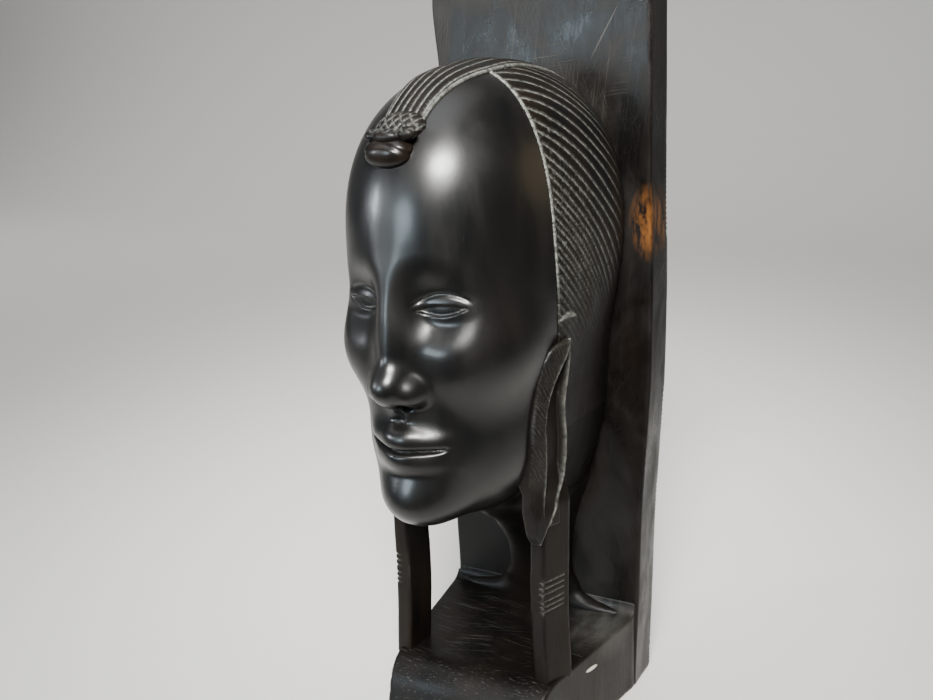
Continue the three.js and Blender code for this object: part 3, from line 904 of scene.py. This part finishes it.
def build_ears():
    points, triangles = carve(ear_field, (14, -68, 76), (44, -38, 152), even(0.42), 1.0)
    lined = ear_lined(points)
    for ending, placed, order in each_side(points, triangles):
        name = "ear_" + ending
        make_piece("carved_" + name, untwist(placed), order, [name], EAR_WOOD, lined)


def build_pendants():
    marked = even(0.9, 0.3, lambda p: (p[:, 2] > 54) & (p[:, 2] < 68))
    for side, ending in ((1, "left"), (-1, "right")):
        low, high = sorted((side * 14, side * 40))
        field = partial(pendant_field, side=side)
        points, triangles = carve(field, (low, -62, 22), (high, -36, 110), marked, 1.1)
        name = "pendant_" + ending
        make_piece("carved_" + name, points, triangles, [name], PENDANT_WOOD)


def build_stand():
    half = SLAB_LEFT + 4
    arris = even(1.6, 0.7, lambda p: (np.abs(p[:, 0]) > 35) & (p[:, 1] < 3))
    low, high = (-half, -3, -3), (half, SLAB_THICKNESS + 3, SLAB_HEIGHT + 3)
    points, triangles = carve(slab_field, low, high, arris, 1.8)
    make_piece("carved_slab", points, triangles, ["slab"], SLAB_WOOD)
    rim = even(1.2, 0.6, lambda p: p[:, 2] > PLINTH_TOP - 3)
    low, high = (-half, PLINTH_LOW[1] - 6, -3), (half, 4, PLINTH_TOP + 8)
    points, triangles = carve(plinth_field, low, high, rim, 1.6)
    make_piece("carved_plinth", points, triangles, ["plinth"], PLINTH_WOOD)
    points, triangles = carve(neck_field, (-38, -52, 26), (38, 4, NECK_TOP + 8), even(0.9), 1.4)
    make_piece("carved_neck", points, triangles, ["neck"], NECK_WOOD)


build_head()
build_hair()
build_knot()
build_ears()
build_pendants()
build_stand()


# ---- floor, lights and camera, in metres ----
HEAD_CENTRE = Vector((0, -0.05, 0.19))       # from the origin; the panels face it
CAMERA_PLACE = Vector((0.15196, -0.3240, 0.21924))
CAMERA_AZIMUTH, CAMERA_ELEVATION, CAMERA_ROLL = radians(29.45), radians(14.09), radians(-1.68)
CAMERA_LENS = 38.585                         # millimetres, over a sensor 36 wide
PAPER = (0.74, 0.72, 0.68, 1)


def make_stage():
    """A pale floor that curves up into a backdrop behind the object."""
    left, right, front, run, rise, bend = -3.4, 0.4, -0.17, 1.2, 2.2, 0.5
    profile = [(front, 0.0), (run, 0.0)]
    profile += [(run + bend * sin(a), bend * (1 - cos(a))) for a in np.linspace(0.1, np.pi / 2, 12)]
    profile += [(run + bend, rise)]
    rows = [[(x, y, z) for x in (left, right)] for y, z in profile]
    mesh = bpy.data.meshes.new("backdrop")
    faces = [(2 * i, 2 * i + 1, 2 * i + 3, 2 * i + 2) for i in range(len(rows) - 1)]
    mesh.from_pydata([corner for row in rows for corner in row], [], faces)
    mesh.polygons.foreach_set("use_smooth", [True] * len(faces))
    paper = bpy.data.materials.new("backdrop_paper")
    paper.use_nodes = True
    paper.node_tree.nodes["Principled BSDF"].inputs["Base Color"].default_value = PAPER
    paper.node_tree.nodes["Principled BSDF"].inputs["Roughness"].default_value = 0.9
    mesh.materials.append(paper)
    backdrop = bpy.data.objects.new("backdrop", mesh)
    bpy.context.scene.collection.objects.link(backdrop)


def make_light(name, azimuth, height, distance, size, spread, power, colour):
    """A panel that faces the head, at an angle from straight ahead and above the level, in degrees."""
    azimuth, height = radians(azimuth), radians(height)
    away = Vector((sin(azimuth) * cos(height), -cos(azimuth) * cos(height), sin(height)))
    light = bpy.data.lights.new(name, "AREA")
    light.shape = "ELLIPSE"
    light.size, light.size_y = size
    light.spread = radians(spread)
    light.energy, light.color = power, colour
    lamp = bpy.data.objects.new(name, light)
    lamp.location = ORIGIN + HEAD_CENTRE + distance * away
    lamp.rotation_euler = (-away).to_track_quat("-Z", "Y").to_euler()
    bpy.context.scene.collection.objects.link(lamp)


def make_backlight():
    """Lights the floor and the backdrop behind the object."""
    light = bpy.data.lights.new("backlight", "AREA")
    light.size, light.energy = 2.4, 24
    light.spread = radians(130)
    lamp = bpy.data.objects.new("backlight", light)
    lamp.location = (-0.9, 0.5, 1.8)
    lamp.rotation_euler = (radians(38), 0, 0)
    bpy.context.scene.collection.objects.link(lamp)


def make_camera():
    azimuth, elevation, roll = CAMERA_AZIMUTH, CAMERA_ELEVATION, CAMERA_ROLL
    back = Vector((sin(azimuth) * cos(elevation), -cos(azimuth) * cos(elevation), sin(elevation)))
    right = (-back).cross(Vector((0, 0, 1))).normalized()
    up = right.cross(-back)
    level, tall = right * cos(roll) + up * sin(roll), -right * sin(roll) + up * cos(roll)
    camera = bpy.data.cameras.new("camera")
    camera.sensor_width = 36
    camera.lens = CAMERA_LENS
    camera.clip_start = 0.01
    holder = bpy.data.objects.new("camera", camera)
    holder.matrix_world = Matrix((level, tall, back)).transposed().to_4x4()
    holder.location = ORIGIN + CAMERA_PLACE
    bpy.context.scene.collection.objects.link(holder)
    bpy.context.scene.camera = holder


def make_world():
    world = bpy.data.worlds.new("studio")
    bpy.context.scene.world = world
    world.use_nodes = True
    world.node_tree.nodes["Background"].inputs["Color"].default_value = (0.80, 0.86, 0.95, 1)
    world.node_tree.nodes["Background"].inputs["Strength"].default_value = 0.12


make_stage()
make_light("key", 22, 38, 0.9, (0.44, 0.26), 36, 1.9, (1.0, 0.99, 0.96))
make_light("window", -22, 4, 1.2, (0.45, 0.40), 60, 0.95, (0.74, 0.90, 1.0))
make_light("edge", -54, 8, 1.2, (0.06, 0.30), 60, 0.7, (0.86, 0.93, 1.0))
make_light("sky", -60, 75, 1.2, (1.0, 1.0), 70, 0.4, (0.84, 0.92, 1.0))
make_light("side", 118, 15, 1.0, (0.5, 0.5), 60, 0.10, (1.0, 0.78, 0.45))
make_backlight()
make_camera()
make_world()
